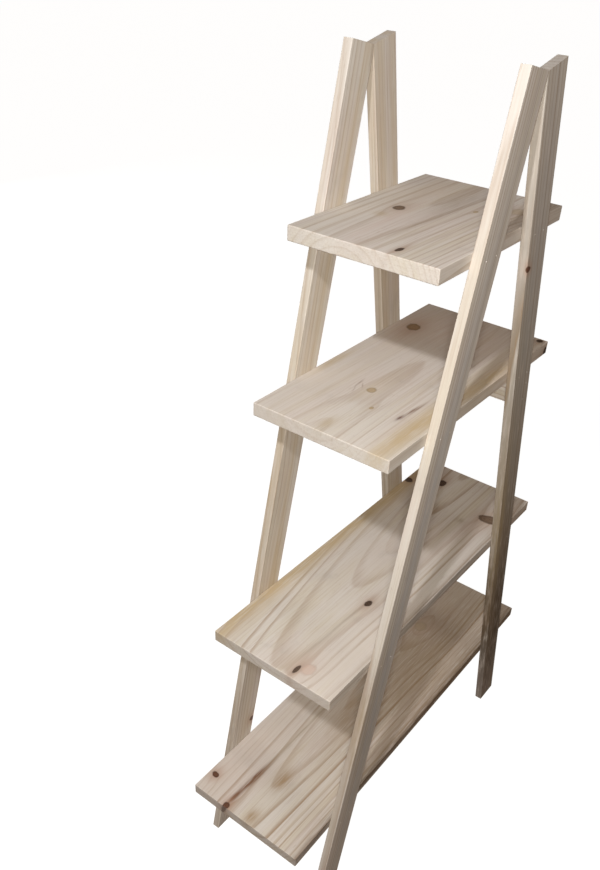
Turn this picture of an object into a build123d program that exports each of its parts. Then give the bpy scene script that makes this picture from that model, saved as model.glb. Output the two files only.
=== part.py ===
from build123d import *
import math
import os

# A-frame ladder shelf in raw pine: two upright frames, each of two slats leaning together,
# with four boards of growing length nailed between them and one rail under the upper board.
# +Z is up, +X runs along the boards, and the front frame is on the -Y side.
# The origin is on the floor, in the middle of the four feet.

# Driving dimensions, in millimetres and degrees.
shelf_width = 240.0             # front to back, the clear space between the two frames
shelf_thickness = 22.0
leg_width = 55.0                # broad face of a slat
leg_thickness = 15.0
lean_angle = 12.2               # of a leg from upright
peak_butt_height = 8.0          # plumb cut where the two legs of a frame meet

bottom_shelf_rise = 210.0       # floor to the top face of the bottom board
lower_shelf_rise = 350.0        # top face to top face, each board above the one before
upper_shelf_rise = 395.0
top_shelf_rise = 245.0
peak_rise = 213.0               # top face of the top board to the highest corner of the legs

bottom_shelf_overhang = 103.0   # each end past the outer edge of the legs
lower_shelf_overhang = 111.0
upper_shelf_overhang = 99.0
top_shelf_overhang = 82.0

rail_width = leg_width          # the rail is cut from the slats' stock
rail_thickness = leg_thickness
rail_inset = 1.0                # of the rail's outer face from the legs' outer edge, at its top

edge_radius = 1.2               # sanded arrises of boards, slats and rail

nail_length = 45.0              # headless nails through the legs
nail_shank = 2.0
nail_head = 2.8
nail_pair_spacing = 28.0        # between the two nails of a joint
nail_set = 0.5                  # heads punched below the surface
rail_nail_pair_spacing = 30.0

peak_nail_length = 90.0         # long nail through both legs of a frame
peak_nail_shank = 3.0
peak_nail_head = 4.2
peak_nail_set = 1.0

nail_head_height = 1.2
nail_neck_height = 0.8          # cone from the head to the shank
nail_point_height = 4.0
hole_mouth = 3.0                # length of a nail hole's mouth outside the head

# Worked out from the driving dimensions.
lean = math.tan(math.radians(lean_angle))
leg_level_width = leg_width / math.cos(math.radians(lean_angle))
frame_inner_y = shelf_width / 2
frame_outer_y = frame_inner_y + leg_thickness
frame_middle_y = frame_inner_y + leg_thickness / 2

board_rise = {
    "bottom_shelf": bottom_shelf_rise,
    "lower_shelf": lower_shelf_rise,
    "upper_shelf": upper_shelf_rise,
    "top_shelf": top_shelf_rise,
}
board_overhang = {
    "bottom_shelf": bottom_shelf_overhang,
    "lower_shelf": lower_shelf_overhang,
    "upper_shelf": upper_shelf_overhang,
    "top_shelf": top_shelf_overhang,
}
board_top = {}
climb = 0.0
for board_name, rise in board_rise.items():
    climb += rise
    board_top[board_name] = climb
peak_height = climb + peak_rise

# Half the spread of the feet that lets the square-cut tops meet over the middle.
foot_reach = (
    peak_height * lean
    + leg_width * math.cos(math.radians(lean_angle))
    - peak_butt_height * lean * math.cos(math.radians(lean_angle)) ** 2
)


def leg_outer_x(height):
    """Distance of a leg's outer edge from the middle of the unit at a height."""
    return foot_reach - height * lean


def leg_middle_x(height):
    """Distance of a leg's centre line from the middle of the unit at a height."""
    return leg_outer_x(height) - leg_level_width / 2


crotch_height = (foot_reach - leg_level_width) / lean
valley_height = crotch_height + peak_butt_height


def nail(length, shank, head, mouth=0.0):
    """A round nail from its head at the origin to its point on +Z. A mouth lengthens the head
    backwards, which makes the shape of the nail's hole."""
    outline = Polyline(
        (0, -mouth),
        (head / 2, -mouth),
        (head / 2, nail_head_height),
        (shank / 2, nail_head_height + nail_neck_height),
        (shank / 2, length - nail_point_height),
        (0, length),
        close=True,
    )
    return revolve(make_face(Plane.XZ * outline), Axis.Z)


def side_nails(spots, mouth=0.0):
    """Nails driven square through both frames' faces at each (x, z) spot."""
    shape = nail(nail_length, nail_shank, nail_head, mouth)
    driven = []
    for x, z in spots:
        for frame in (-1, 1):
            head_at = (x, frame * (frame_outer_y - nail_set), z)
            driven.append(Plane(origin=head_at, z_dir=(0, -frame, 0)) * shape)
    return driven


def peak_nails(mouth=0.0):
    """One long level nail in each frame, from the right leg's outer edge into the left leg."""
    shape = nail(peak_nail_length, peak_nail_shank, peak_nail_head, mouth)
    height = (crotch_height + valley_height) / 2
    head_x = leg_outer_x(height) - peak_nail_set
    driven = []
    for frame in (-1, 1):
        head_at = (head_x, frame * frame_middle_y, height)
        driven.append(Plane(origin=head_at, z_dir=(-1, 0, 0)) * shape)
    return driven


def board_nail_spots(name):
    """Where a board is nailed: two spots on each leg, at the middle of the board's thickness."""
    height = board_top[name] - shelf_thickness / 2
    reach = leg_middle_x(height)
    half = nail_pair_spacing / 2
    return [(side * (reach + step), height) for side in (-1, 1) for step in (-half, half)]


# The rail stands on edge between the right legs, tight under the upper board.
rail_top = board_top["upper_shelf"] - shelf_thickness
rail_middle_x = leg_outer_x(rail_top) - rail_inset - rail_thickness / 2
rail_middle_z = rail_top - rail_width / 2


def rail_nail_spots():
    """Two spots above each other on the end of the rail."""
    half = rail_nail_pair_spacing / 2
    return [(rail_middle_x, rail_middle_z + step) for step in (-half, half)]


def all_nail_holes():
    """Every nail's hole, with a mouth that reaches out of the wood."""
    holes = peak_nails(hole_mouth) + side_nails(rail_nail_spots(), hole_mouth)
    for name in board_top:
        holes += side_nails(board_nail_spots(name), hole_mouth)
    return holes


def boxes_meet(one, other):
    """Whether two bounding boxes share any space."""
    spans = zip(one.min, one.max, other.min, other.max)
    return all(low < other_high and other_low < high for low, high, other_low, other_high in spans)


def drilled(piece, holes):
    """A piece of wood less the nail holes that reach it."""
    box = piece.bounding_box()
    reaching = [hole for hole in holes if boxes_meet(box, hole.bounding_box())]
    return piece - reaching


def board(name):
    """A shelf board with all its arrises sanded."""
    length = 2 * (leg_outer_x(board_top[name]) + board_overhang[name])
    blank = Box(length, shelf_width, shelf_thickness)
    return Pos(0, 0, board_top[name] - shelf_thickness / 2) * fillet(blank.edges(), edge_radius)


def leg(side, frame):
    """A leaning slat: square-cut top, plumb cut against its partner, foot cut level."""
    outline = [
        (foot_reach, 0),
        (leg_outer_x(peak_height), peak_height),
        (0, valley_height),
        (0, crotch_height),
        (foot_reach - leg_level_width, 0),
    ]
    face = make_face(Plane.XZ * Polyline(*[(side * x, z) for x, z in outline], close=True))
    slat = Pos(0, frame * frame_middle_y, 0) * extrude(face, leg_thickness / 2, both=True)
    arrises = slat.edges().filter_by(lambda edge: edge.length > peak_height / 2)
    return fillet(arrises, edge_radius)


def cross_rail():
    """The rail, its ends butted on the inner faces of the two right legs."""
    blank = Box(rail_thickness, shelf_width, rail_width)
    arrises = blank.edges().filter_by(Axis.Y)
    return Pos(rail_middle_x, 0, rail_middle_z) * fillet(arrises, edge_radius)


def write(name, shape):
    shape.label = name
    export_step(shape, os.path.join("parts", name + ".step"))


os.makedirs("parts", exist_ok=True)
nail_holes = all_nail_holes()

for board_name in board_top:
    write(board_name, drilled(board(board_name), nail_holes))
    write(board_name + "_nails", Compound(children=side_nails(board_nail_spots(board_name))))

for frame_name, frame_side in (("front", -1), ("back", 1)):
    for leg_name, leg_side in (("left", -1), ("right", 1)):
        slat = leg(leg_side, frame_side)
        write(f"{frame_name}_{leg_name}_leg", drilled(slat, nail_holes))

write("cross_rail", drilled(cross_rail(), nail_holes))
write("cross_rail_nails", Compound(children=side_nails(rail_nail_spots())))
write("peak_nails", Compound(children=peak_nails()))
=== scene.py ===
import math
from collections import namedtuple

import bmesh
import bpy
from bpy.props import FloatProperty, FloatVectorProperty, IntProperty, PointerProperty
from mathutils import Matrix, Vector


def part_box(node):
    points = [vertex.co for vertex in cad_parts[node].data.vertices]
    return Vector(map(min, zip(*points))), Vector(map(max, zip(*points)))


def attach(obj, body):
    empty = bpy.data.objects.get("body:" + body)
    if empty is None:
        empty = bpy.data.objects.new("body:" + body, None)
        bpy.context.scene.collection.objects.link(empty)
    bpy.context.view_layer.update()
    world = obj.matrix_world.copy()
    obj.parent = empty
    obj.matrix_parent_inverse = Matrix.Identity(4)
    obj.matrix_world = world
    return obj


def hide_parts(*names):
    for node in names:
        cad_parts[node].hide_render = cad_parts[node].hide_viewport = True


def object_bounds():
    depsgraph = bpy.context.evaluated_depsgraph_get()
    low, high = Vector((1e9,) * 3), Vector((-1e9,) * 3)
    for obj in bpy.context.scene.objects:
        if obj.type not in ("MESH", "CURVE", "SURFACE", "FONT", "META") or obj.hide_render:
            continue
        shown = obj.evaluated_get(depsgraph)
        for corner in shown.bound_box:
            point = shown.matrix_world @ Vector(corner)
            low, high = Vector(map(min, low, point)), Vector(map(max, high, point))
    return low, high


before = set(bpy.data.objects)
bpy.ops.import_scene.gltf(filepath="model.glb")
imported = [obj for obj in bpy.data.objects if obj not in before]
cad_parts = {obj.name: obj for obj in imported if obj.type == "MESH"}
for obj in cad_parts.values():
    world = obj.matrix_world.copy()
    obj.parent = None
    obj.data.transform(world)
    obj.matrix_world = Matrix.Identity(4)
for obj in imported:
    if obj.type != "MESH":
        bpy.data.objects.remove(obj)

bl_info = {
    "name": "Pine ladder shelf",
    "version": (1, 0, 0),
    "blender": (4, 5, 0),
    "location": "View3D > Sidebar > Ladder shelf",
    "description": "Boards, slats, rail and nails of a raw pine A-frame shelf, and its studio",
    "category": "Add Mesh",
}

BODY = "root"
BOARDS = ("top_shelf", "upper_shelf", "lower_shelf", "bottom_shelf")
LEGS = ("front_left_leg", "front_right_leg", "back_left_leg", "back_right_leg")
CAD_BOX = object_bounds()

# Boards: rows of faces in an arris, spans through the thickness, how fast the sanding wanders
# along each axis, and how square a face stands when it is shaded flat.
ARRIS_ROWS = 3.0
SPANS_THROUGH = 10
SANDING_SCALE = (7.0, 7.0, 60.0)
SQUARE = 0.9995

# Nails: rows along the wire, the share of it that has grip rings and their depth, and the share
# of the head's height that is rounded and by how much.
WIRE_ROWS = 90
GRIP_SHARE = 0.30
GRIP_DEPTH = 0.10
CROWN_SHARE = 0.3
CROWN_ROUNDING = 0.14

# Points this near are merged, and corners this near in height are level.
SAME_PLACE = 1e-6
SAME_LEVEL = 1e-5

# The floor: its shade under the glow, spots a metre, how much they show, and its roughness.
FLOOR_SHADE = 0.25
FLOOR_PATCHES = 1.3
FLOOR_TONE = 0.05
FLOOR_ROUGHNESS = 0.85

# The camera's sensor, in millimetres.
SENSOR_WIDTH = 36.0

# How a piece was cut from its tree. heart is where the tree's heart runs, across the piece and
# up from its face; drift is how far the heart moves across and up for each metre of grain. ring
# is the width of the first rings, and later ones are tighter by so much for each metre outwards.
Cut = namedtuple("Cut", "heart drift ring tighter contrast seed knots bends streaks")
# A knot at x along and y across the face, stretched along x and y. swell bends the rings round it.
Knot = namedtuple("Knot", "x y radius long wide swell kind")
# A place where the rings bend outwards by push, and a streak of colour along the grain.
Bend = namedtuple("Bend", "x y long wide push")
Streak = namedtuple("Streak", "x y long wide kind strength slant", defaults=(0.0,))

# Colours of a knot's core and halo, and how strongly they show. Then the streaks' colours.
KNOT_WOOD = {
    "red": ((0.100, 0.034, 0.018), (0.48, 0.28, 0.19), 0.95),
    "brown": ((0.135, 0.082, 0.048), (0.50, 0.37, 0.29), 0.85),
    "dark": ((0.032, 0.018, 0.012), (0.40, 0.25, 0.17), 0.95),
    "olive": ((0.300, 0.190, 0.095), (0.50, 0.33, 0.25), 0.90),
    "pale": ((0.46, 0.33, 0.17), (0.62, 0.52, 0.40), 0.60),
    "loop": ((0.52, 0.43, 0.30), (0.50, 0.38, 0.30), 0.30),
    "blush": ((0.68, 0.50, 0.42), (0.60, 0.46, 0.40), 0.25),
}
STREAK_WOOD = {
    "resin": (0.19, 0.080, 0.040),
    "bark": (0.13, 0.050, 0.038),
    "amber": (0.50, 0.38, 0.20),
    "smoke": (0.40, 0.31, 0.24),
    "yellow": (0.60, 0.47, 0.29),
    "rose": (0.70, 0.565, 0.515),
    "brown": (0.30, 0.215, 0.14),
    "tan": (0.42, 0.29, 0.17),
    "rust": (0.52, 0.35, 0.27),
    "blond": (0.74, 0.675, 0.630),
    # Umber is painted shade, not a stain: it darkens the front edges of the lower boards and the
    # front legs towards their feet.
    "umber": (0.085, 0.056, 0.036),
    "slate": (0.45, 0.45, 0.47),
    "moss": (0.30, 0.26, 0.17),
}

# Each piece of wood's own cut. Some of its streaks are painted shade and one is a painted shadow,
# as marked below.
CUTS = {}
CUTS["top_shelf"] = Cut(
    heart=(0.022, -0.062), drift=(-0.03, 0.022), ring=0.0180, tighter=4.0, contrast=0.50,
    seed=3.0,
    knots=(
        Knot(-0.007, 0.051, 0.0092, 1.1, 0.9, 0.6, "brown"),
        Knot(-0.156, -0.045, 0.0042, 2.1, 0.8, 0.8, "dark"),
        Knot(0.056, -0.04, 0.0035, 1.5, 0.8, 0.8, "pale"),
        Knot(0.1, -0.084, 0.012, 1.3, 0.8, 0.8, "loop"),
    ),
    bends=(Bend(0.06, 0.02, 0.1, 0.05, -0.003),),
    streaks=(
        Streak(-0.048, 0.054, 0.012, 0.013, "amber", 0.45),
        Streak(-0.05, 0.035, 0.12, 0.01, "rose", 0.4, 0.05),
        # Painted shadow: this smoky patch near the front edge is the front-left leg's shadow on
        # the board.
        Streak(0.08, -0.08, 0.06, 0.016, "smoke", 0.45),
        Streak(0.12, 0.06, 0.11, 0.03, "yellow", 0.3),
        Streak(0.08, 0.0, 0.09, 0.018, "brown", 0.38),
        Streak(0.0, -0.012, 0.16, 0.005, "brown", 0.35, -0.05),
    ),
)
CUTS["upper_shelf"] = Cut(
    heart=(0.002, 0.056), drift=(-0.02, 0.060), ring=0.0170, tighter=5.0, contrast=0.28,
    seed=11.0,
    knots=(
        Knot(0.14, 0.084, 0.0112, 1.15, 0.85, 0.6, "olive"),
        Knot(-0.101, 0.01, 0.0085, 1.0, 0.8, 0.8, "pale"),
        Knot(0.24, -0.108, 0.0045, 1.3, 1.0, 1.0, "dark"),
        Knot(-0.147, -0.021, 0.003, 1.3, 1.0, 0.8, "pale"),
    ),
    bends=(
        Bend(-0.115, 0.008, 0.06, 0.03, 0.008),
        Bend(0.15, 0.06, 0.09, 0.04, -0.005),
    ),
    streaks=(
        Streak(-0.05, 0.085, 0.35, 0.05, "blond", 0.65),
        Streak(-0.091, 0.038, 0.011, 0.0014, "resin", 0.6, 0.1),
        Streak(-0.112, 0.034, 0.01, 0.0012, "resin", 0.45, 0.35),
        Streak(-0.098, 0.029, 0.006, 0.0012, "resin", 0.45, 0.6),
        Streak(-0.143, -0.0685, 0.009, 0.003, "bark", 0.95, -0.05),
        Streak(-0.112, -0.072, 0.026, 0.0028, "resin", 0.9, -0.08),
        Streak(-0.227, 0.003, 0.024, 0.009, "amber", 0.5),
        Streak(-0.15, -0.1, 0.16, 0.015, "yellow", 0.95, -0.02),
        Streak(0.06, -0.108, 0.12, 0.013, "yellow", 0.9),
        Streak(-0.06, 0.112, 0.05, 0.008, "yellow", 0.7),
        Streak(0.11, 0.084, 0.05, 0.022, "rust", 0.42),
        Streak(0.18, 0.01, 0.11, 0.11, "rose", 0.6),
    ),
)
CUTS["lower_shelf"] = Cut(
    heart=(0.010, 0.056), drift=(0.050, -0.100), ring=0.01955, tighter=1.5, contrast=0.78,
    seed=23.0,
    knots=(
        Knot(-0.1255, -0.04, 0.0066, 1.3, 0.8, 0.7, "dark"),
        Knot(-0.3275, -0.039, 0.0052, 2.0, 0.7, 0.7, "dark"),
        Knot(-0.316, -0.054, 0.012, 1.1, 0.9, 0.5, "blush"),
        Knot(0.235, -0.083, 0.0135, 0.9, 1.1, 0.6, "brown"),
        Knot(0.286, 0.05, 0.008, 1.3, 0.9, 0.8, "dark"),
        Knot(0.25, 0.112, 0.0065, 1.2, 1.0, 0.8, "dark"),
    ),
    bends=(),
    streaks=(
        Streak(-0.28, -0.095, 0.2, 0.045, "blond", 0.65),
        Streak(0.03, 0.015, 0.13, 0.055, "blond", 0.7),
        Streak(0.0, 0.112, 1.2, 0.017, "yellow", 0.95),
        Streak(0.2, 0.105, 0.12, 0.022, "amber", 0.3),
        Streak(-0.16, -0.035, 0.05, 0.003, "brown", 0.4, -0.06),
        Streak(-0.26, -0.03, 0.08, 0.0035, "brown", 0.32, -0.05),
        Streak(0.19, -0.075, 0.05, 0.018, "rose", 0.55),
        Streak(0.196, -0.043, 0.009, 0.01, "brown", 0.4),
        Streak(-0.315, -0.045, 0.03, 0.018, "rose", 0.45),
        Streak(0.09, -0.06, 0.22, 0.012, "smoke", 0.2),
        # Painted shade: a dark umber band along the board's front edge.
        Streak(-0.03, -0.13, 0.2, 0.014, "umber", 0.8),
    ),
)
CUTS["bottom_shelf"] = Cut(
    heart=(0.008, 0.0428), drift=(0.010, -0.050), ring=0.0175, tighter=3.0, contrast=0.90,
    seed=37.0,
    knots=(
        Knot(-0.374, 0.105, 0.0058, 1.0, 1.0, 0.8, "red"),
        Knot(-0.411, 0.045, 0.006, 1.1, 1.0, 0.8, "red"),
        Knot(0.219, 0.015, 0.013, 1.2, 1.0, 1.0, "loop"),
    ),
    bends=(
        Bend(0.219, 0.012, 0.05, 0.032, -0.012),
        Bend(0.23, -0.05, 0.12, 0.04, -0.01),
    ),
    streaks=(
        Streak(-0.15, 0.1, 0.5, 0.04, "blond", 0.75),
        Streak(-0.33, 0.0425, 0.09, 0.005, "brown", 0.45, -0.04),
        Streak(-0.388, 0.0455, 0.022, 0.004, "resin", 1.3, -0.04),
        Streak(-0.335, 0.043, 0.034, 0.0045, "resin", 1.6, -0.04),
        Streak(-0.18, 0.042, 0.16, 0.003, "brown", 0.5),
        Streak(-0.303, -0.003, 0.024, 0.012, "tan", 0.9),
        Streak(-0.4, -0.006, 0.018, 0.01, "tan", 0.9),
        Streak(-0.09, -0.008, 0.07, 0.018, "tan", 0.5),
        Streak(0.219, 0.015, 0.03, 0.024, "rose", 0.6),
        Streak(-0.35, 0.085, 0.14, 0.035, "rose", 0.3),
        # Painted shade: brown and umber bands darken the board's front edge.
        Streak(0.15, -0.125, 0.5, 0.03, "brown", 0.55),
        Streak(0.05, -0.13, 0.6, 0.014, "umber", 1.4),
        # A broad tan patch browns and darkens the right half, where the lower board's shadow
        # falls: partly the wood's own brown, partly painted shade.
        Streak(0.14, -0.04, 0.36, 0.1, "tan", 0.6),
    ),
)
CUTS["front_left_leg"] = Cut(
    heart=(0.060, -0.020), drift=(0.010, 0.012), ring=0.0110, tighter=5.0, contrast=0.75,
    seed=51.0,
    knots=(), bends=(),
    streaks=(
        Streak(0.42, 0.026, 0.11, 0.007, "yellow", 0.6),
        Streak(0.48, 0.012, 0.07, 0.006, "smoke", 0.35, 0.05),
        Streak(0.9, 0.004, 0.35, 0.0035, "smoke", 0.45, 0.01),
        Streak(1.15, -0.012, 0.22, 0.004, "smoke", 0.45, 0.02),
        Streak(0.56, -0.004, 0.018, 0.002, "resin", 0.4, 0.25),
        # Painted shade: a wide umber band darkens the lower middle of the leg.
        Streak(0.45, 0.0, 0.2, 0.06, "umber", 0.22),
        Streak(0.7, -0.008, 0.7, 0.018, "slate", 0.7),
    ),
)
CUTS["front_right_leg"] = Cut(
    heart=(-0.090, -0.016), drift=(0.010, -0.004), ring=0.0130, tighter=3.0, contrast=1.0,
    seed=63.0,
    knots=(Knot(1.17, 0.024, 0.0032, 1.6, 0.8, 0.8, "red"),),
    bends=(),
    streaks=(
        # Wide umber, moss and brown bands across the whole face darken the leg step by step
        # towards its foot: painted shade of its lower part, where little light falls.
        Streak(0.33, 0.0, 0.45, 0.08, "umber", 1.0),
        Streak(1.15, 0.0, 0.35, 0.08, "brown", 0.25),
        Streak(0.85, 0.0, 0.45, 0.08, "moss", 0.5),
        Streak(1.15, 0.0, 0.4, 0.03, "slate", 0.5),
        Streak(0.6, 0.02, 0.2, 0.01, "amber", 0.6),
        Streak(0.56, 0.0, 0.09, 0.012, "brown", 0.4, 0.02),
        Streak(0.3, 0.01, 0.12, 0.014, "brown", 0.4),
    ),
)
CUTS["back_left_leg"] = Cut(
    heart=(0.052, -0.055), drift=(-0.020, 0.020), ring=0.0120, tighter=6.0, contrast=0.45,
    seed=77.0,
    knots=(
        Knot(0.262, 0.02, 0.0075, 1.0, 1.3, 0.9, "red"),
        Knot(0.9, -0.008, 0.006, 1.4, 1.0, 0.9, "loop"),
    ),
    bends=(Bend(0.8, 0.0, 0.1, 0.025, 0.01),),
    streaks=(
        Streak(0.255, 0.008, 0.04, 0.012, "amber", 0.6),
        Streak(0.59, 0.014, 0.11, 0.014, "yellow", 1.0),
        Streak(0.85, 0.006, 0.6, 0.009, "yellow", 0.9, 0.008),
        Streak(0.9, 0.022, 0.3, 0.006, "blond", 0.8),
        Streak(0.95, -0.01, 0.4, 0.007, "yellow", 0.8),
        Streak(1.25, 0.012, 0.25, 0.007, "yellow", 0.55),
        Streak(0.45, -0.015, 0.2, 0.008, "amber", 0.45),
        Streak(0.75, -0.032, 0.42, 0.012, "amber", 0.55),
        Streak(0.25, -0.03, 0.12, 0.02, "brown", 0.4),
    ),
)
CUTS["back_right_leg"] = Cut(
    heart=(-0.055, -0.048), drift=(-0.012, 0.010), ring=0.0120, tighter=6.0, contrast=0.45,
    seed=89.0,
    knots=(Knot(0.905, 0.014, 0.005, 2.0, 0.7, 0.8, "brown"),), bends=(),
    streaks=(
        Streak(1.15, -0.016, 0.45, 0.01, "yellow", 1.0),
        Streak(1.25, 0.018, 0.3, 0.008, "yellow", 0.9),
        Streak(1.0, 0.01, 0.3, 0.01, "amber", 0.5),
        Streak(0.56, 0.0, 0.06, 0.02, "amber", 0.6),
    ),
)
CUTS["cross_rail"] = Cut(
    heart=(0.030, -0.045), drift=(0.010, 0.010), ring=0.0110, tighter=6.0, contrast=0.65,
    seed=97.0,
    knots=(Knot(0.035, 0.008, 0.005, 1.2, 1.0, 0.9, "brown"),), bends=(),
    streaks=(Streak(-0.04, -0.012, 0.09, 0.008, "amber", 0.5),),
)


# ---- node trees as expressions

class Bench:
    """Adds nodes to one node tree."""

    def __init__(self, tree):
        self.tree = tree

    def node(self, kind, settings=(), inputs=(), output=0):
        """A new node: its settings are set first, then the values or links of its sockets."""
        made = self.tree.nodes.new(kind)
        for name, value in dict(settings).items():
            setattr(made, name, value)
        for socket, value in dict(inputs).items():
            if isinstance(value, Wire):
                self.tree.links.new(value.socket, made.inputs[socket])
            else:
                made.inputs[socket].default_value = value
        return Wire(self, made.outputs[output] if made.outputs else None)

    def vector(self, x, y, z):
        return Arrow.of(self.node("ShaderNodeCombineXYZ", inputs={0: x, 1: y, 2: z}))

    def scaled(self, vector, number):
        """A vector times a number, either of them a wire."""
        settings, inputs = {"operation": "SCALE"}, {0: vector, "Scale": number}
        return Arrow.of(self.node("ShaderNodeVectorMath", settings, inputs))

    def noise(self, where, scale=1.0, detail=2.0, rough=0.5, output=0):
        """Smooth noise from 0 to 1, at so many spots a metre."""
        sockets = {"Vector": where, "Scale": scale, "Detail": detail, "Roughness": rough}
        return self.node("ShaderNodeTexNoise", inputs=sockets, output=output)

    def mix(self, share, first, second):
        """A colour between two."""
        settings = {"data_type": "RGBA", "blend_type": "MIX", "clamp_factor": True}
        sockets = {0: share, 6: rgba(first), 7: rgba(second)}
        return self.node("ShaderNodeMix", settings, sockets, output=2)


class Wire:
    """A number that runs through a node tree. Sums on it add the Math nodes for them."""

    def __init__(self, bench, socket):
        self.bench = bench
        self.socket = socket

    def math(self, operation, *values):
        return self.bench.node("ShaderNodeMath", {"operation": operation}, dict(enumerate(values)))

    def __add__(self, other):
        return self.math("ADD", self, other)

    def __radd__(self, other):
        return self.math("ADD", other, self)

    def __sub__(self, other):
        return self.math("SUBTRACT", self, other)

    def __rsub__(self, other):
        return self.math("SUBTRACT", other, self)

    def __mul__(self, other):
        return self.math("MULTIPLY", self, other)

    def __rmul__(self, other):
        return self.math("MULTIPLY", other, self)

    def __truediv__(self, other):
        return self.math("DIVIDE", self, other)

    def __rtruediv__(self, other):
        return self.math("DIVIDE", other, self)

    def __neg__(self):
        return self.math("MULTIPLY", self, -1.0)

    def __abs__(self):
        return self.math("ABSOLUTE", self)

    def whole(self):
        return self.math("FLOOR", self)

    def part(self):
        return self.math("FRACT", self)

    def sign(self):
        return self.math("SIGN", self)

    def at_least(self, low):
        return self.math("MAXIMUM", self, low)

    def at_most(self, high):
        return self.math("MINIMUM", self, high)

    def below(self, limit):
        return self.math("LESS_THAN", self, limit)

    def bell(self):
        """1 where this is 0, falling smoothly to nothing at about 2."""
        return self.math("EXPONENT", -(self * self))

    def rise(self, low, high):
        """A smooth step from 0 at low to 1 at high."""
        sockets = {"Value": self, "From Min": low, "From Max": high}
        return self.bench.node("ShaderNodeMapRange", {"interpolation_type": "SMOOTHSTEP"}, sockets)

    def tone(self, tone):
        """How much of a tone shows where this is so high."""
        return self.rise(tone.low, tone.high) * tone.share


class Arrow(Wire):
    """A vector that runs through a node tree. Sums on it add the Vector Math nodes for them."""

    @classmethod
    def of(cls, wire):
        return cls(wire.bench, wire.socket)

    def vector_math(self, operation, *values):
        inputs = dict(enumerate(values))
        return Arrow.of(self.bench.node("ShaderNodeVectorMath", {"operation": operation}, inputs))

    def __add__(self, other):
        return self.vector_math("ADD", self, other)

    def __sub__(self, other):
        return self.vector_math("SUBTRACT", self, other)

    def __mul__(self, other):
        return self.vector_math("MULTIPLY", self, other)

    def unit(self):
        return self.vector_math("NORMALIZE", self)

    def times(self, number):
        return self.bench.scaled(self, number)

    def dot(self, other):
        settings, inputs = {"operation": "DOT_PRODUCT"}, {0: self, 1: other}
        return self.bench.node("ShaderNodeVectorMath", settings, inputs, output="Value")

    def length(self):
        settings, inputs = {"operation": "LENGTH"}, {0: self}
        return self.bench.node("ShaderNodeVectorMath", settings, inputs, output="Value")

    def parts(self):
        made = self.bench.node("ShaderNodeSeparateXYZ", inputs={0: self}).socket.node
        return [Wire(self.bench, socket) for socket in made.outputs]


def rgba(colour):
    """A colour as a socket takes it."""
    return colour if isinstance(colour, Wire) else (*colour[:3], 1.0)


def new_material(name):
    """An empty material with its shader, and the bench to build on it."""
    material = bpy.data.materials.new(name)
    material.use_nodes = True
    tree = material.node_tree
    tree.nodes.clear()
    shader = tree.nodes.new("ShaderNodeBsdfPrincipled")
    output = tree.nodes.new("ShaderNodeOutputMaterial")
    tree.links.new(shader.outputs[0], output.inputs["Surface"])
    return material, Bench(tree), shader


def feed(bench, shader, **wires):
    """Links what varies to the shader's sockets, named with underscores for spaces."""
    for name, wire in wires.items():
        bench.tree.links.new(wire.socket, shader.inputs[name.replace("_", " ").title()])


# ---- pine

# How the tree grows: a branch's climb, its widening and its least width; how far the heart and
# the rings stray, in metres, and how uneven the rings are, in rings, each with its spots a metre.
BRANCH_RISE = 0.20
BRANCH_SPREAD = 0.45
LEAST_TAPER = 0.3
HEART_WANDER = 0.0045
WANDER_SCALE = 3.2
WANDER_STRETCH = (1.0, 0.1, 0.1)
RING_RIPPLE = 0.0007
RIPPLE_SCALE = 26.0
RIPPLE_STRETCH = (0.35, 1.0, 1.0)
RING_UNEVENNESS = 1.6
UNEVEN_SCALE = 24.0

# A piece's seed shifts its noises, by this share of it across the grain.
SEED_STEP = 0.7

# Which part of a ring deepens into late wood and which ends it, and how faint a ring can be.
LATE_START = (0.55, 0.93)
LATE_END = (0.935, 1.0)
FAINTEST_RING = 0.3

# Tones of the wood: the noise at which each starts and is full, and its share of the colour.
Tone = namedtuple("Tone", "low high share")
PINK_CLOUDS = Tone(0.35, 0.70, 0.80)
YELLOW_BANDS = Tone(0.40, 0.75, 0.65)
DARK_FIBRES = Tone(0.45, 0.75, 0.26)
PALE_FIBRES = Tone(0.55, 0.30, 0.24)
CANALS = Tone(0.74, 0.86, 0.28)
TORN_STREAKS = Tone(0.28, 0.58, 0.60)
SAW_MARKS = Tone(0.30, 0.80, 0.20)
SMUDGE_SPAN = (0.56, 0.80)

# Spots a metre: of fibres and bands along the grain, across it and outwards from the heart, of
# torn streaks and saw marks along, across and into the piece, and of the evener noises.
FIBRE_SCALE = (6.0, 340.0, 60.0)
CANAL_STRETCH = (12.0, 2.4, 2.4)
BAND_SCALE = (1.5, 40.0, 70.0)
TORN_SCALE = (22.0, 380.0, 220.0)
SAW_SCALE = (40.0, 90.0, 700.0)
CLOUD_SCALE = 5.5
CLOUD_STRETCH = (1.0, 2.2, 2.2)
SMUDGE_SCALE = 14.0
RAGGED_SCALE = 110.0

# Streaks reach this much deeper into the wood than they are wide.
STREAK_DEPTH = 0.010

# Sawn ends: how squarely a face cuts the grain, how much fainter rings are and how grey it is.
END_FACING = (0.80, 0.95)
END_FADE = 0.4
END_GREY = 0.22

# Knots, in knot radii: how ragged they are, where the core ends, the dark rim, and how fast the
# halo and the bent rings fade along and across the grain. Then the strengths.
KNOT_RAGGEDNESS = 0.75
CORE_END = (0.78, 1.06)
RIM_PLACE = 0.92
RIM_WIDTH = 0.17
HALO_FADE = (0.34, 0.52, 0.52)
SWELL_FADE = (0.28, 0.42, 0.42)
HALO_STRENGTH = 0.62
RIM_STRENGTH = 0.70
RIM_DARKNESS = 0.6
FAINTEST_CORE = 0.35
KNOT_RINGS = 17.0
KNOT_RING_TONE = 0.10
KNOT_TONE = 0.12

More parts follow.
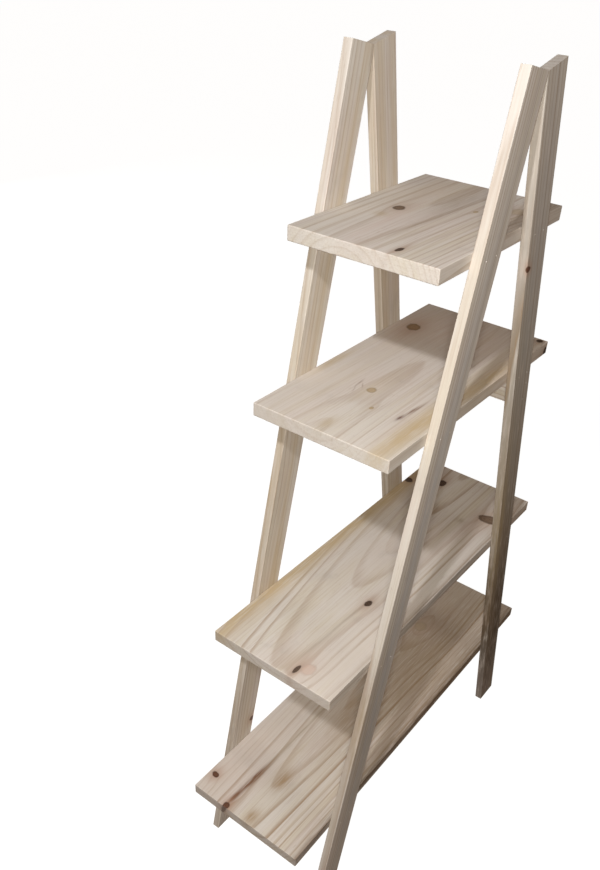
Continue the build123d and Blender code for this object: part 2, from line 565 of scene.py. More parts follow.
# Roughness of planed pine and what changes it, and the shares of the grain's relief.
PLANED = 0.64
FIBRE_ROUGHNESS = 0.16
LATE_POLISH = 0.08
END_ROUGHNESS = 0.12
KNOT_POLISH = 0.20
LATE_RELIEF = 0.40
FIBRE_RELIEF = 0.50
SAW_RELIEF = 1.2
CANAL_RELIEF = 0.3
KNOT_RELIEF = 0.7
RELIEF_STRENGTH = 0.5
SHEEN = 0.30

# Nail steel: spots a metre of rust and of drawing lines, which run along Y, where rust shows,
# its share of the colour, and what it does to the roughness and to the metal.
RUST_SCALE = 900.0
DRAWN_SCALE = 6000.0
DRAWN_STRETCH = (1.0, 0.04, 1.0)
RUST_BLOOM = Tone(0.50, 0.75, 0.45)
STEEL_ROUGHNESS = 0.34
RUST_ROUGHNESS = 0.35
RUST_DULLNESS = 0.5
DRAWN_RELIEF = 0.00005
DRAWN_STRENGTH = 0.4


def branch_of(knot, cut, local):
    """The offset of a point from a knot's branch, 1 long at the knot's rim. The branch runs from
    near the tree's heart outwards and a little uphill, and widens on the way."""
    heart_y = cut.heart[0] + cut.drift[0] * knot.x
    heart_z = cut.heart[1] + cut.drift[1] * knot.x
    outward = Vector((0.0, (knot.y - heart_y) * BRANCH_SPREAD, -heart_z))
    branch = (outward.normalized() + Vector((BRANCH_RISE, 0.0, 0.0))).normalized()
    offset = local - (knot.x, knot.y, 0.0)
    along = offset.dot(tuple(branch))
    stretch = (1.0 / (knot.radius * knot.long), 1.0 / (knot.radius * knot.wide), 1.0 / knot.radius)
    away = (offset - local.bench.scaled(tuple(branch), along)) * stretch
    taper = (along / outward.length + 1.0).at_least(LEAST_TAPER)
    return away.times(1.0 / taper)


def spot(x, y, mark):
    """1 in the middle of a mark on the face, fading with distance along and across the grain."""
    return ((x - mark.x) / mark.long).bell() * ((y - mark.y) / mark.wide).bell()


def ring_field(bench, cut, local, shifted, branches):
    """Distance from the tree's heart, bent by the tree's growth and round its knots."""
    x, y, z = local.parts()
    wander = Arrow.of(bench.noise(shifted * WANDER_STRETCH, WANDER_SCALE, output=1))
    wander = (wander - (0.5, 0.5, 0.5)) * (0.0, HEART_WANDER, HEART_WANDER)
    ripple = bench.noise(shifted * RIPPLE_STRETCH, RIPPLE_SCALE) - 0.5
    heart_y = x * cut.drift[0] + cut.heart[0]
    heart_z = x * cut.drift[1] + cut.heart[1]
    spoke = bench.vector(0.0, y - heart_y, z - heart_z) + wander
    distance = spoke.length() + ripple * RING_RIPPLE
    for bend in cut.bends:
        distance = distance + spot(x, y, bend) * bend.push
    for knot, branch in zip(cut.knots, branches):
        nearby = (branch * SWELL_FADE).length().bell()
        distance = distance - nearby * (knot.radius * knot.swell)
    return distance


def late_wood(bench, cut, distance):
    """Each ring is pale early wood that deepens into late wood and ends on a crisp edge."""
    uneven = bench.node("ShaderNodeTexNoise", {"noise_dimensions": "1D"},
                        {"W": distance * UNEVEN_SCALE + cut.seed, "Scale": 1.0, "Detail": 1.0})
    rings = distance * (distance * cut.tighter + 1.0) / cut.ring + uneven * RING_UNEVENNESS
    share = rings.part()
    strength = bench.node("ShaderNodeTexWhiteNoise", {"noise_dimensions": "1D"},
                          {"W": rings.whole() + cut.seed})
    edge = share.rise(*LATE_START) * (1.0 - share.rise(*LATE_END))
    return edge * (strength * (1.0 - FAINTEST_RING) + FAINTEST_RING)


def streaked(bench, cut, local, colour):
    """Streaks of resin, bark, and yellow or rosy wood, and umber bands of painted shade, all
    broken up by the fibres.
    """
    x, y, z = local.parts()
    along, across, deep = TORN_SCALE
    torn = bench.noise(bench.vector(x * along, y * across, z * deep)).tone(TORN_STREAKS)
    torn = torn + (1.0 - TORN_STREAKS.share)
    for streak in cut.streaks:
        centred = y - (x - streak.x) * streak.slant
        depth = (z / (streak.wide + STREAK_DEPTH)).bell()
        patch = spot(x, centred, streak) * depth * streak.strength
        colour = bench.mix(patch * torn, colour, STREAK_WOOD[streak.kind])
    return colour


def knotted(bench, cut, local, branches, colour):
    """Knots: a halo of tinted wood, the branch's own rings and a dark rim. Says where cores are,
    too, or None in wood without knots."""
    ragged = (bench.noise(local, RAGGED_SCALE, 3.0, 0.6) - 0.5) * KNOT_RAGGEDNESS
    cores = None
    for knot, branch in zip(cut.knots, branches):
        core_wood, halo_wood, depth = KNOT_WOOD[knot.kind]
        reach = branch.length() + ragged
        core = 1.0 - reach.rise(*CORE_END)
        halo = (branch * HALO_FADE).length().bell() * (HALO_STRENGTH * depth)
        rim = ((reach - RIM_PLACE) / RIM_WIDTH).bell() * (RIM_STRENGTH * depth)
        own_rings = bench.node("ShaderNodeMath", {"operation": "SINE"}, {0: reach * KNOT_RINGS})
        core_tone = bench.mix(own_rings * KNOT_RING_TONE + KNOT_TONE, core_wood, halo_wood)
        colour = bench.mix(halo, colour, halo_wood)
        solid = FAINTEST_CORE + (1.0 - FAINTEST_CORE) * depth
        colour = bench.mix(core * solid, colour, core_tone)
        colour = bench.mix(rim, colour, tuple(part * RIM_DARKNESS for part in core_wood))
        cores = core if cores is None else cores.math("MAXIMUM", cores, core)
    return colour, cores


def pine(name, cut, origin, axes, finish):
    """Raw pine with the rings of one tree running through the whole piece. axes are the grain's
    direction, the direction across the broad face and that face's normal; origin is on it."""
    material, bench, shader = new_material(name)
    place = {
        "Vector": bench.node("ShaderNodeTexCoord", output="Object"),
        "Location": origin,
        "Rotation": Matrix(axes).transposed().to_euler(),
    }
    local = Arrow.of(bench.node("ShaderNodeMapping", {"vector_type": "TEXTURE"}, place))
    x, y, z = local.parts()
    shifted = local + (cut.seed, cut.seed * SEED_STEP, -cut.seed)
    branches = [branch_of(knot, cut, local) for knot in cut.knots]
    distance = ring_field(bench, cut, local, shifted, branches)
    late = late_wood(bench, cut, distance)
    facing = Arrow.of(bench.node("ShaderNodeTexCoord", output="Normal"))
    end = abs(facing.dot(tuple(axes[0]))).rise(*END_FACING)

    # Fibres and resin canals follow the grain; broad bands of colour are slower.
    along, across, outward = FIBRE_SCALE
    fast = bench.vector(x * along, y * across, z * across + distance * outward)
    fibre = bench.noise(fast, 1.0, 3.0, 0.65)
    canals = bench.noise(fast * CANAL_STRETCH, 1.0, 0.0).rise(CANALS.low, CANALS.high)
    along, across, outward = BAND_SCALE
    slow = bench.vector(x * along + cut.seed, y * across, distance * outward)
    cloud = bench.noise(shifted * CLOUD_STRETCH, CLOUD_SCALE)
    rings = late * cut.contrast * (1.0 - end * END_FADE)

    colour = bench.mix(cloud.tone(PINK_CLOUDS), finish.early_wood, finish.pink_wood)
    colour = bench.mix(bench.noise(slow).tone(YELLOW_BANDS), colour, finish.yellow_wood)
    colour = bench.mix(rings, colour, finish.late_wood)
    colour = bench.mix(fibre.tone(DARK_FIBRES), colour, finish.late_wood)
    colour = bench.mix(fibre.tone(PALE_FIBRES), colour, finish.bleached_wood)
    colour = bench.mix(canals * CANALS.share, colour, finish.late_wood)
    colour = streaked(bench, cut, local, colour)
    colour, cores = knotted(bench, cut, local, branches, colour)

    # Handling leaves grey smudges; sawn ends are rougher and a little greyer.
    dirt = bench.noise(shifted, SMUDGE_SCALE, 4.0, 0.6).rise(*SMUDGE_SPAN) * finish.smudges
    colour = bench.mix(dirt, colour, finish.smudge_grey)
    along, across, deep = SAW_SCALE
    sawn = bench.noise(bench.vector(x * along, y * across, z * deep))
    colour = bench.mix(end * (sawn.tone(SAW_MARKS) + END_GREY), colour, finish.smudge_grey)

    rough = PLANED + (fibre - 0.5) * FIBRE_ROUGHNESS - late * LATE_POLISH + end * END_ROUGHNESS
    relief = (late * LATE_RELIEF + fibre * FIBRE_RELIEF + end * sawn * SAW_RELIEF
              - canals * CANAL_RELIEF)
    if cores is not None:
        rough = rough - cores * KNOT_POLISH
        relief = relief + cores * KNOT_RELIEF
    bump = bench.node("ShaderNodeBump", inputs={
        "Strength": RELIEF_STRENGTH, "Distance": finish.grain_relief, "Height": relief})
    feed(bench, shader, base_color=colour, roughness=rough, normal=bump)
    shader.inputs["Specular IOR Level"].default_value = SHEEN
    return material


def nail_steel(name, finish):
    """Drawn steel wire, dull, with fine lines and blooms of first rust."""
    material, bench, shader = new_material(name)
    where = Arrow.of(bench.node("ShaderNodeTexCoord", output="Object"))
    bloom = bench.noise(where, RUST_SCALE, 3.0).rise(RUST_BLOOM.low, RUST_BLOOM.high)
    drawn = bench.noise(where * DRAWN_STRETCH, DRAWN_SCALE)
    colour = bench.mix(bloom * RUST_BLOOM.share, finish.steel, finish.rust)
    bump = bench.node("ShaderNodeBump", inputs={
        "Strength": DRAWN_STRENGTH, "Distance": DRAWN_RELIEF, "Height": drawn})
    feed(bench, shader, base_color=colour, roughness=STEEL_ROUGHNESS + bloom * RUST_ROUGHNESS,
         metallic=1.0 - bloom * RUST_DULLNESS, normal=bump)
    return material


# ---- geometry trees

def geometry_tree(name, inputs):
    """A Geometry Nodes group with named inputs and one geometry output."""
    tree = bpy.data.node_groups.new(name, "GeometryNodeTree")
    tree.interface.new_socket("Geometry", in_out="OUTPUT", socket_type="NodeSocketGeometry")
    for label, kind in inputs:
        tree.interface.new_socket(label, in_out="INPUT", socket_type="NodeSocket" + kind)
    bench = Bench(tree)
    given = tree.nodes.new("NodeGroupInput")
    wires = {label: Wire(bench, given.outputs[label]) for label, kind in inputs}
    return tree, bench, wires


def end_tree(bench, geometry, material):
    """Realize Instances, Set Material and the group's output."""
    real = bench.node("GeometryNodeRealizeInstances", inputs={0: geometry})
    coated = bench.node("GeometryNodeSetMaterial", inputs={0: real, "Material": material})
    bench.node("NodeGroupOutput", inputs={0: coated})


def grown(name, tree, values):
    """The plain mesh object that a geometry tree makes from these values of its inputs."""
    seedling = bpy.data.objects.new(name + "_blank", bpy.data.meshes.new(name + "_blank"))
    bpy.context.scene.collection.objects.link(seedling)
    modifier = seedling.modifiers.new("Shape", "NODES")
    modifier.node_group = tree
    sockets = {item.name: item.identifier for item in tree.interface.items_tree
               if item.in_out == "INPUT"}
    for label, value in values.items():
        modifier[sockets[label]] = value
    bpy.context.view_layer.update()
    ready = seedling.evaluated_get(bpy.context.evaluated_depsgraph_get())
    mesh = bpy.data.meshes.new_from_object(ready)
    bpy.data.objects.remove(seedling)
    if not mesh.polygons:
        raise RuntimeError(f"the tree for {name} made no faces")
    piece = bpy.data.objects.new(name, mesh)
    mesh.name = name
    bpy.context.scene.collection.objects.link(piece)
    return piece


def board_tree():
    """A planed board from the rule that all four boards follow: a blank of some length whose
    arrises are sanded by hand, so that their radius wanders along the edge."""
    tree, bench, given = geometry_tree("Planed board", (
        ("Centre", "Vector"), ("Size", "Vector"), ("Arris radius", "Float"),
        ("Hand sanding", "Float"), ("Arris rows", "Float"), ("Spans along", "Int"),
        ("Spans across", "Int"), ("Spans through", "Int"), ("Seed", "Float"),
        ("Wood", "Material"),
    ))
    size = Arrow.of(given["Size"])
    spans = (given["Spans along"], given["Spans across"], given["Spans through"])
    blank = bench.node("GeometryNodeMeshCube", inputs={
        "Size": size, "Vertices X": spans[0] + 1, "Vertices Y": spans[1] + 1,
        "Vertices Z": spans[2] + 1})
    place = Arrow.of(bench.node("GeometryNodeInputPosition"))
    drifting = bench.vector(given["Seed"], given["Seed"], 0.0) + place * SANDING_SCALE
    worn = bench.noise(drifting)
    arris = given["Arris radius"] * (1.0 + (worn - 0.5) * given["Hand sanding"])

    halves = (size * (0.5, 0.5, 0.5)).parts()
    cored, moved = [], []
    for value, half, count in zip(place.parts(), halves, spans):
        margin = half * 2.0 / count * given["Arris rows"]
        depth = half - abs(value)
        squeezed = depth.at_most(margin) * (arris / margin)
        spread = (depth - margin).at_least(0.0) * ((half - arris) / (half - margin))
        settled = (half - squeezed - spread) * value.sign()
        inner = half - arris
        moved.append(settled)
        cored.append(settled.at_most(inner).math("MAXIMUM", settled.at_most(inner), -inner))
    core = bench.vector(*cored)
    outward = (bench.vector(*moved) - core).unit()
    rounded = core + outward.times(arris) + given["Centre"]
    shaped = bench.node("GeometryNodeSetPosition", inputs={0: blank, "Position": rounded})

    faces = [abs(part) for part in Arrow.of(bench.node("GeometryNodeInputNormal")).parts()]
    squarest = faces[0].math("MAXIMUM", faces[0], faces[1])
    squarest = squarest.math("MAXIMUM", squarest, faces[2])
    settings, inputs = {"domain": "FACE"}, {0: shaped, "Selection": squarest.below(SQUARE)}
    smoothed = bench.node("GeometryNodeSetShadeSmooth", settings, inputs)
    end_tree(bench, smoothed, given["Wood"])
    return tree


def nail_tree():
    """Wire nails at pairs of spots: a wire swept along a line, thick at the punched head, ringed
    below it for grip and drawn to a point, then set at every spot and its mirror image."""
    tree, bench, given = geometry_tree("Wire nails", (
        ("Middle", "Vector"), ("Half spread", "Vector"), ("Row step", "Vector"),
        ("Drive", "Vector"), ("Length", "Float"), ("Shank radius", "Float"),
        ("Head radius", "Float"), ("Head height", "Float"), ("Neck height", "Float"),
        ("Point length", "Float"), ("Grip rings", "Float"), ("Sides", "Int"),
        ("Steel", "Material"),
    ))
    length, shank, head = given["Length"], given["Shank radius"], given["Head radius"]
    line = bench.node("GeometryNodeCurvePrimitiveLine", inputs={
        "Start": (0.0, 0.0, 0.0), "End": bench.vector(0.0, 0.0, length)})
    line = bench.node("GeometryNodeResampleCurve", inputs={"Curve": line, "Count": WIRE_ROWS})
    depth = Arrow.of(bench.node("GeometryNodeInputPosition")).parts()[2]
    below_head = ((depth - given["Head height"]) / given["Neck height"]).at_least(0.0).at_most(1.0)
    to_point = ((length - depth) / given["Point length"]).at_most(1.0)
    grip_zone = (depth / length).below(GRIP_SHARE)
    teeth = (depth / length * given["Grip rings"]).part() * grip_zone * GRIP_DEPTH
    thick = head + (shank * (1.0 - teeth) - head) * below_head
    crown = (depth / (given["Head height"] * CROWN_SHARE)).at_most(1.0)
    crown = crown * CROWN_ROUNDING + (1.0 - CROWN_ROUNDING)
    ring = bench.node("GeometryNodeCurvePrimitiveCircle", inputs={
        "Resolution": given["Sides"], "Radius": 1.0})
    wire = bench.node("GeometryNodeCurveToMesh", inputs={
        "Curve": line, "Profile Curve": ring, "Scale": thick * to_point * crown,
        "Fill Caps": True})

    # Two rows at each end of the half spread, then the same again mirrored through the middle.
    spots = []
    step = Arrow.of(given["Row step"])
    spread = Arrow.of(given["Half spread"])
    for end in (-1.0, 1.0):
        for row in (0.0, 1.0):
            at = Arrow.of(given["Middle"]) + spread.times(end) - step.times(end * row)
            spots.append(bench.node("GeometryNodeMeshLine", {"mode": "OFFSET"}, {
                "Count": 1, "Start Location": at}))
    all_spots = bench.node("GeometryNodeJoinGeometry")
    for at in spots:
        bench.tree.links.new(at.socket, all_spots.socket.node.inputs[0])
    turn = bench.node("FunctionNodeAlignRotationToVector", {"axis": "Z"}, {
        "Vector": given["Drive"]})
    set_out = bench.node("GeometryNodeInstanceOnPoints", inputs={
        "Points": all_spots, "Instance": wire, "Rotation": turn})
    end_tree(bench, set_out, given["Steel"])
    return tree


# ---- pieces

def board_axes():
    """Grain along +X, broad face up."""
    return Vector((1, 0, 0)), Vector((0, 1, 0)), Vector((0, 0, 1))


def slat_place(node):
    """A leaning slat's origin, at the middle of its foot on its outer face, and its axes."""
    low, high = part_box(node)
    corners = [v.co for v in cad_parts[node].data.vertices]
    outer_x = max((low.x, high.x), key=abs)
    height = high.z
    top_x = next(co.x for co in corners if co.z > height - SAME_LEVEL)
    inner_x = min((co.x for co in corners if co.z < SAME_LEVEL), key=abs)
    face_y = max((low.y, high.y), key=abs)
    grain = Vector((top_x - outer_x, 0.0, height)).normalized()
    outward = Vector((0.0, math.copysign(1.0, face_y), 0.0))
    across = outward.cross(grain)
    return Vector(((outer_x + inner_x) / 2, face_y, 0.0)), (grain, across, outward)


def make_boards(settings, finish):
    """Every board, each with its own cut of pine."""
    tree = board_tree()
    for name in BOARDS:
        low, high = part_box(name)
        size, centre = high - low, (low + high) / 2
        wood = pine("pine_" + name, CUTS[name], (0.0, 0.0, high.z), board_axes(), finish)
        board = grown(name + "_planed", tree, {
            "Centre": centre, "Size": size, "Arris radius": settings.arris_radius,
            "Hand sanding": settings.hand_sanding, "Arris rows": ARRIS_ROWS,
            "Spans along": round(size.x / settings.mesh_span),
            "Spans across": round(size.y / settings.mesh_span),
            "Spans through": SPANS_THROUGH, "Seed": CUTS[name].seed, "Wood": wood})
        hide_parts(name)
        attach(board, BODY)


def coat(node, material):
    """Gives a CAD node its finish."""
    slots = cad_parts[node].data.materials
    slots.clear()
    slots.append(material)


def finish_legs(finish):
    """The four slats, each from another length of pine."""
    for name in LEGS:
        origin, axes = slat_place(name)
        coat(name, pine("pine_" + name, CUTS[name], origin, axes, finish))


def finish_rail(finish):
    """The rail on edge, its grain running front to back."""
    low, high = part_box("cross_rail")
    origin = Vector((high.x, (low.y + high.y) / 2, (low.z + high.z) / 2))
    axes = Vector((0, 1, 0)), Vector((0, 0, 1)), Vector((1, 0, 0))
    coat("cross_rail", pine("pine_cross_rail", CUTS["cross_rail"], origin, axes, finish))


def make_nails(settings, finish):
    """Wire nails where the nail nodes are: pairs on both sides of each joint, and the long ones
    through the peaks. Each group is one tree's mesh for the front and one for the back."""
    steel = nail_steel("nail_steel", finish)
    tree = nail_tree()
    for node in [name + "_nails" for name in BOARDS] + ["cross_rail_nails", "peak_nails"]:
        low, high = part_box(node)
        middle = (low + high) / 2
        size = high - low
        length, share = settings.nail_length, settings.shank_share
        mouths = [(Vector((middle.x, side * high.y, middle.z)), (0.0, -side, 0.0))
                  for side in (-1, 1)]
        spread, step = Vector(), Vector()
        if node == "peak_nails":
            head, length, share = size.z / 2, size.x, settings.peak_shank_share
            mouths = [(Vector((high.x, side * (high.y - head), middle.z)), (-1.0, 0.0, 0.0))
                      for side in (-1, 1)]
        elif node == "cross_rail_nails":
            head = size.x / 2
            spread.z = size.z / 2 - head
        else:
            head = size.z / 2
            spread.x = size.x / 2 - head
            step.x = settings.pair_spacing
        halves = []
        for mouth, drive in mouths:
            halves.append(grown(node + "_half", tree, {
                "Middle": mouth, "Half spread": spread, "Row step": step, "Drive": drive,
                "Length": length, "Shank radius": head * share, "Head radius": head,
                "Head height": settings.head_height, "Neck height": settings.neck_height,
                "Point length": settings.point_length, "Grip rings": settings.grip_rings,
                "Sides": settings.sides, "Steel": steel}))
        piece = joined(node.replace("_nails", "_wire_nails"), halves)
        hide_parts(node)
        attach(piece, BODY)


def joined(name, halves):
    """One object from several, with doubles merged."""
    both = bmesh.new()
    for half in halves:
        both.from_mesh(half.data)
    bmesh.ops.remove_doubles(both, verts=both.verts, dist=SAME_PLACE)
    mesh = bpy.data.meshes.new(name)
    both.to_mesh(mesh)
    both.free()
    mesh.materials.append(halves[0].data.materials[0])
    for half in halves:
        bpy.data.objects.remove(half)
    piece = bpy.data.objects.new(name, mesh)
    bpy.context.scene.collection.objects.link(piece)
    return piece


# ---- studio

def lay_floor(stage):
    """A wide pale floor."""
    reach = stage.floor_reach
    mesh = bpy.data.meshes.new("floor")
    corners = [(-reach, -reach, 0), (reach, -reach, 0), (reach, reach, 0), (-reach, reach, 0)]
    mesh.from_pydata(corners, [], [(0, 1, 2, 3)])
    material, bench, shader = new_material("pale_floor")
    where = bench.node("ShaderNodeTexCoord", output="Object")
    tone = bench.noise(where, FLOOR_PATCHES)
    dim = tuple(part * FLOOR_SHADE for part in stage.floor_colour)
    colour = bench.mix(tone * FLOOR_TONE, dim, stage.floor_colour)
    feed(bench, shader, base_color=colour)
    shader.inputs["Roughness"].default_value = FLOOR_ROUGHNESS
    shader.inputs["Emission Color"].default_value = (*stage.floor_colour, 1.0)
    shader.inputs["Emission Strength"].default_value = stage.floor_glow
    mesh.materials.append(material)
    floor = bpy.data.objects.new("floor", mesh)
    floor.visible_diffuse = False
    floor.visible_glossy = False
    bpy.context.scene.collection.objects.link(floor)


def hang(name, kind, place, power, colour):
    """A lamp's object, in its place."""
    light = bpy.data.lights.new(name, kind)
    light.energy = power
    light.color = colour
    lamp = bpy.data.objects.new(name, light)
    lamp.location = place
    bpy.context.scene.collection.objects.link(lamp)
    return lamp


def hang_globe(name, place, size, power, colour):
    """A round lamp that shines all round."""
    lamp = hang(name, "POINT", place, power, colour)
    lamp.data.shadow_soft_size = size / 2


def hang_panel(name, place, target, size, power, colour):
    """A flat soft lamp that faces a point and is itself out of sight."""
    lamp = hang(name, "AREA", place, power, colour)
    lamp.data.shape = "DISK"
    lamp.data.size = size
    lamp.rotation_euler = (Vector(target) - Vector(place)).to_track_quat("-Z", "Y").to_euler()
    lamp.visible_camera = False


def light_world(stage):
    """A pale room to look at, which itself gives little light."""
    world = bpy.data.worlds.new("studio")
    world.use_nodes = True
    tree = world.node_tree
    tree.nodes.clear()
    bench = Bench(tree)
    glow = bench.node("ShaderNodeBackground", inputs={
        "Color": (*stage.room_colour, 1.0), "Strength": stage.room_strength})
    seen = bench.node("ShaderNodeBackground", inputs={
        "Color": (*stage.floor_colour, 1.0), "Strength": stage.room_glow})
    looking = bench.node("ShaderNodeLightPath", output="Is Camera Ray")
    both = bench.node("ShaderNodeMixShader", inputs={0: looking, 1: glow, 2: seen})
    bench.node("ShaderNodeOutputWorld", inputs={"Surface": both})
    bpy.context.scene.world = world


def place_camera(stage):
    """A standing person's view, down on the shelf from its front left."""
    lens = bpy.data.cameras.new("camera")
    lens.lens = stage.lens
    lens.sensor_width = SENSOR_WIDTH
    lens.shift_x, lens.shift_y = stage.shift
    holder = bpy.data.objects.new("camera", lens)
    turn = (Matrix.Rotation(stage.heading, 4, "Z")
            @ Matrix.Rotation(math.pi / 2 - stage.tilt, 4, "X")
            @ Matrix.Rotation(stage.roll, 4, "Z"))
    holder.matrix_world = Matrix.Translation(stage.eye) @ turn
    bpy.context.scene.collection.objects.link(holder)
    bpy.context.scene.camera = holder


# ---- add-on

# What the settings of a kind have in common.
COLOUR = {"subtype": "COLOR", "min": 0.0, "max": 1.0}
LENGTH = {"unit": "LENGTH", "precision": 4}
PLACE = {"subtype": "TRANSLATION", "unit": "LENGTH"}


class WoodFinish(bpy.types.PropertyGroup):
    """Colours of the raw pine and the steel."""
    early_wood: FloatVectorProperty(
        name="Early wood", description="Pale wood between the rings",
        default=(0.760, 0.718, 0.680), **COLOUR)
    pink_wood: FloatVectorProperty(
        name="Pink wood", description="Patches of pinker wood",
        default=(0.735, 0.662, 0.628), **COLOUR)
    yellow_wood: FloatVectorProperty(
        name="Yellow wood", description="Yellow bands and edges",
        default=(0.685, 0.620, 0.510), **COLOUR)
    late_wood: FloatVectorProperty(
        name="Late wood", description="The dark side of each ring",
        default=(0.370, 0.245, 0.150), **COLOUR)
    bleached_wood: FloatVectorProperty(
        name="Bleached fibres", description="The palest fibres",
        default=(0.790, 0.770, 0.750), **COLOUR)
    smudge_grey: FloatVectorProperty(
        name="Smudges", description="Grey marks from handling",
        default=(0.46, 0.43, 0.40), **COLOUR)
    steel: FloatVectorProperty(
        name="Steel", description="Nail wire",
        default=(0.50, 0.50, 0.52), **COLOUR)
    rust: FloatVectorProperty(
        name="Rust", description="First rust on the nails",
        default=(0.22, 0.10, 0.05), **COLOUR)
    smudges: FloatProperty(
        name="Smudge strength", description="How dirty the wood is", default=0.30,
        min=0.0, max=1.0, subtype="FACTOR")
    grain_relief: FloatProperty(
        name="Grain relief", description="Depth of the planed grain", default=0.00035,
        min=0.0, unit="LENGTH", precision=5)


class BoardSizes(bpy.types.PropertyGroup):
    """How the boards are sanded and meshed. Their lengths come from the frame."""
    arris_radius: FloatProperty(
        name="Arris radius", description="Radius of the sanded edges", default=0.0014,
        min=0.0005, **LENGTH)
    hand_sanding: FloatProperty(
        name="Hand sanding", description="How much the edge radius wanders", default=1.1,
        min=0.0, max=1.5, subtype="FACTOR")
    mesh_span: FloatProperty(
        name="Mesh span", description="Distance between mesh lines", default=0.008,
        min=0.002, **LENGTH)


class NailSizes(bpy.types.PropertyGroup):
    """Wire nails. Their places, and the sizes of their heads, come from the frame."""
    nail_length: FloatProperty(
        name="Length", description="Length of the nails in the legs", default=0.045,
        min=0.01, **LENGTH)
    pair_spacing: FloatProperty(
        name="Pair spacing", description="Between the nails of a joint", default=0.028,
        min=0.005, **LENGTH)
    shank_share: FloatProperty(
        name="Shank share", description="Shank over head diameter", default=0.70,
        min=0.3, max=1.0, subtype="FACTOR")
    peak_shank_share: FloatProperty(
        name="Peak shank share", description="The same on the long nails", default=0.70,
        min=0.3, max=1.0, subtype="FACTOR")
    head_height: FloatProperty(
        name="Head height", description="Straight part of the head", default=0.0012,
        min=0.0002, **LENGTH)
    neck_height: FloatProperty(
        name="Neck height", description="Cone below the head", default=0.0008,
        min=0.0002, **LENGTH)
    point_length: FloatProperty(
        name="Point length", description="Length of the point", default=0.004,
        min=0.001, **LENGTH)
    grip_rings: FloatProperty(
        name="Grip rings", description="Rings of grip if they ran the whole length",
        default=30.0, min=0.0)
    sides: IntProperty(
        name="Sides", description="Sides of the wire", default=12, min=6)


class Studio(bpy.types.PropertyGroup):
    """Floor, lamps and camera."""
    floor_reach: FloatProperty(
        name="Floor reach", description="Half the floor's side", default=30.0, **LENGTH)
    floor_colour: FloatVectorProperty(
        name="Floor colour", description="Pale floor",
        default=(0.90, 0.90, 0.90), **COLOUR)
    floor_glow: FloatProperty(
        name="Floor glow", description="Even brightness that the floor adds", default=1.06,
        min=0.0)
    lamp_place: FloatVectorProperty(
        name="Ceiling lamp", description="Where the main lamp hangs",
        default=(-1.55, -0.38, 2.45), **PLACE)
    lamp_size: FloatProperty(
        name="Ceiling lamp size", description="Its diameter", default=0.10, **LENGTH)
    lamp_power: FloatProperty(
        name="Ceiling lamp power", description="Its power", default=80.0, unit="POWER")
    lamp_colour: FloatVectorProperty(
        name="Ceiling lamp colour", description="Its colour",
        default=(1.0, 1.0, 1.0), **COLOUR)
    front_place: FloatVectorProperty(
        name="Front lamp", description="Where the lamp beside the viewer is",
        default=(-1.15, -0.62, 1.55), **PLACE)
    front_size: FloatProperty(
        name="Front lamp size", description="Its diameter", default=0.12, **LENGTH)
    front_power: FloatProperty(
        name="Front lamp power", description="Its power", default=45.0, unit="POWER")
    front_colour: FloatVectorProperty(
        name="Front lamp colour", description="Its colour",
        default=(1.0, 0.97, 0.87), **COLOUR)
    rear_place: FloatVectorProperty(
        name="Rear lamp", description="Where the soft lamp behind the shelf is",
        default=(0.9, 4.4, 1.1), **PLACE)
    rear_size: FloatProperty(
        name="Rear lamp size", description="Its diameter", default=1.8, **LENGTH)
    rear_power: FloatProperty(
        name="Rear lamp power", description="Its power", default=60.0, unit="POWER")
    rear_colour: FloatVectorProperty(
        name="Rear lamp colour", description="Its colour",
        default=(1.0, 0.93, 0.82), **COLOUR)
    room_colour: FloatVectorProperty(
        name="Room colour", description="Colour of the light that the room gives back",
        default=(1.0, 0.74, 0.55), **COLOUR)
    room_strength: FloatProperty(
        name="Room strength", description="Strength of that light", default=0.15, min=0.0)
    room_glow: FloatProperty(
        name="Room glow", description="How bright the room looks behind the shelf",
        default=1.06, min=0.0)
    eye: FloatVectorProperty(
        name="Eye", description="Where the camera stands",
        default=(-1.080, -0.592, 1.569), **PLACE)
    heading: FloatProperty(
        name="Heading", description="Turn about the upright", subtype="ANGLE",
        default=math.radians(-53.8))
    tilt: FloatProperty(
        name="Tilt", description="Looking down", subtype="ANGLE", default=math.radians(36.4))
    roll: FloatProperty(
        name="Roll", description="Leaning of the camera", subtype="ANGLE",
        default=math.radians(2.73))
    lens: FloatProperty(
        name="Lens", description="Focal length in millimetres", default=34.86, min=10.0)
    shift: FloatVectorProperty(
        name="Shift", description="Framing of the picture", size=2, default=(-0.0062, 0.0846))


class LADDERSHELF_OT_boards(bpy.types.Operator):
    """Make the four boards"""
    bl_idname = "laddershelf.boards"
    bl_label = "Boards"

    def execute(self, context):
        make_boards(context.scene.shelf_boards, context.scene.shelf_finish)
        return {"FINISHED"}


class LADDERSHELF_OT_legs(bpy.types.Operator):
    """Finish the four leaning slats"""
    bl_idname = "laddershelf.legs"
    bl_label = "Legs"

    def execute(self, context):
        finish_legs(context.scene.shelf_finish)
        return {"FINISHED"}


class LADDERSHELF_OT_rail(bpy.types.Operator):
    """Finish the rail under the upper board"""
    bl_idname = "laddershelf.rail"
    bl_label = "Rail"

    def execute(self, context):
        finish_rail(context.scene.shelf_finish)
        return {"FINISHED"}


class LADDERSHELF_OT_nails(bpy.types.Operator):
    """Make the wire nails"""
    bl_idname = "laddershelf.nails"
    bl_label = "Nails"

    def execute(self, context):
        make_nails(context.scene.shelf_nails, context.scene.shelf_finish)
        return {"FINISHED"}


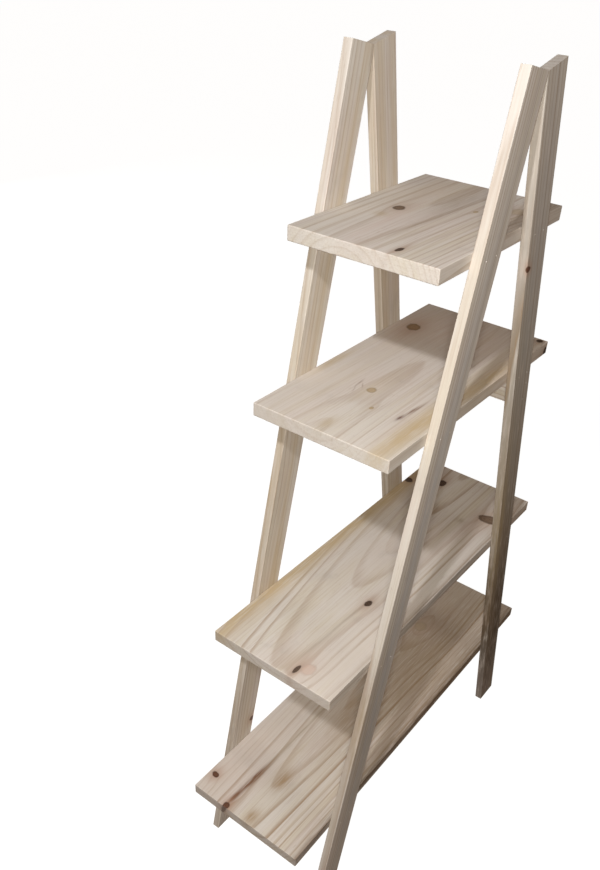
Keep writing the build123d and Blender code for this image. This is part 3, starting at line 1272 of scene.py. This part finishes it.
class LADDERSHELF_OT_stage(bpy.types.Operator):
    """Lay the floor, hang the lamps and place the camera"""
    bl_idname = "laddershelf.stage"
    bl_label = "Studio"

    def execute(self, context):
        studio = context.scene.shelf_studio
        low, high = CAD_BOX
        middle = (low + high) / 2
        lay_floor(studio)
        light_world(studio)
        hang_globe("ceiling_lamp", studio.lamp_place, studio.lamp_size,
                   studio.lamp_power, studio.lamp_colour)
        hang_globe("front_lamp", studio.front_place, studio.front_size,
                   studio.front_power, studio.front_colour)
        hang_panel("rear_lamp", studio.rear_place, middle, studio.rear_size,
                   studio.rear_power, studio.rear_colour)
        place_camera(studio)
        context.scene.view_settings.view_transform = "Standard"
        return {"FINISHED"}


class LADDERSHELF_PT_panel(bpy.types.Panel):
    """Sizes, colours and pieces of the ladder shelf"""
    bl_idname = "LADDERSHELF_PT_panel"
    bl_label = "Ladder shelf"
    bl_space_type = "VIEW_3D"
    bl_region_type = "UI"
    bl_category = "Ladder shelf"

    def draw(self, context):
        for group, operators in (
            ("shelf_finish", ("laddershelf.legs", "laddershelf.rail")),
            ("shelf_boards", ("laddershelf.boards",)),
            ("shelf_nails", ("laddershelf.nails",)),
            ("shelf_studio", ("laddershelf.stage",)),
        ):
            box = self.layout.box()
            values = getattr(context.scene, group)
            for name in values.__annotations__:
                box.prop(values, name)
            for operator in operators:
                box.operator(operator)


GROUPS = {
    "shelf_finish": WoodFinish,
    "shelf_boards": BoardSizes,
    "shelf_nails": NailSizes,
    "shelf_studio": Studio,
}
OPERATORS = (
    LADDERSHELF_OT_boards,
    LADDERSHELF_OT_legs,
    LADDERSHELF_OT_rail,
    LADDERSHELF_OT_nails,
    LADDERSHELF_OT_stage,
)


def register():
    for made in (*GROUPS.values(), *OPERATORS, LADDERSHELF_PT_panel):
        bpy.utils.register_class(made)
    for name, group in GROUPS.items():
        setattr(bpy.types.Scene, name, PointerProperty(type=group))


def unregister():
    for name in GROUPS:
        delattr(bpy.types.Scene, name)
    for made in (LADDERSHELF_PT_panel, *reversed(OPERATORS), *GROUPS.values()):
        bpy.utils.unregister_class(made)


def main():
    register()
    bpy.ops.laddershelf.boards()
    bpy.ops.laddershelf.legs()
    bpy.ops.laddershelf.rail()
    bpy.ops.laddershelf.nails()
    bpy.ops.laddershelf.stage()


if __name__ == "__main__":
    main()
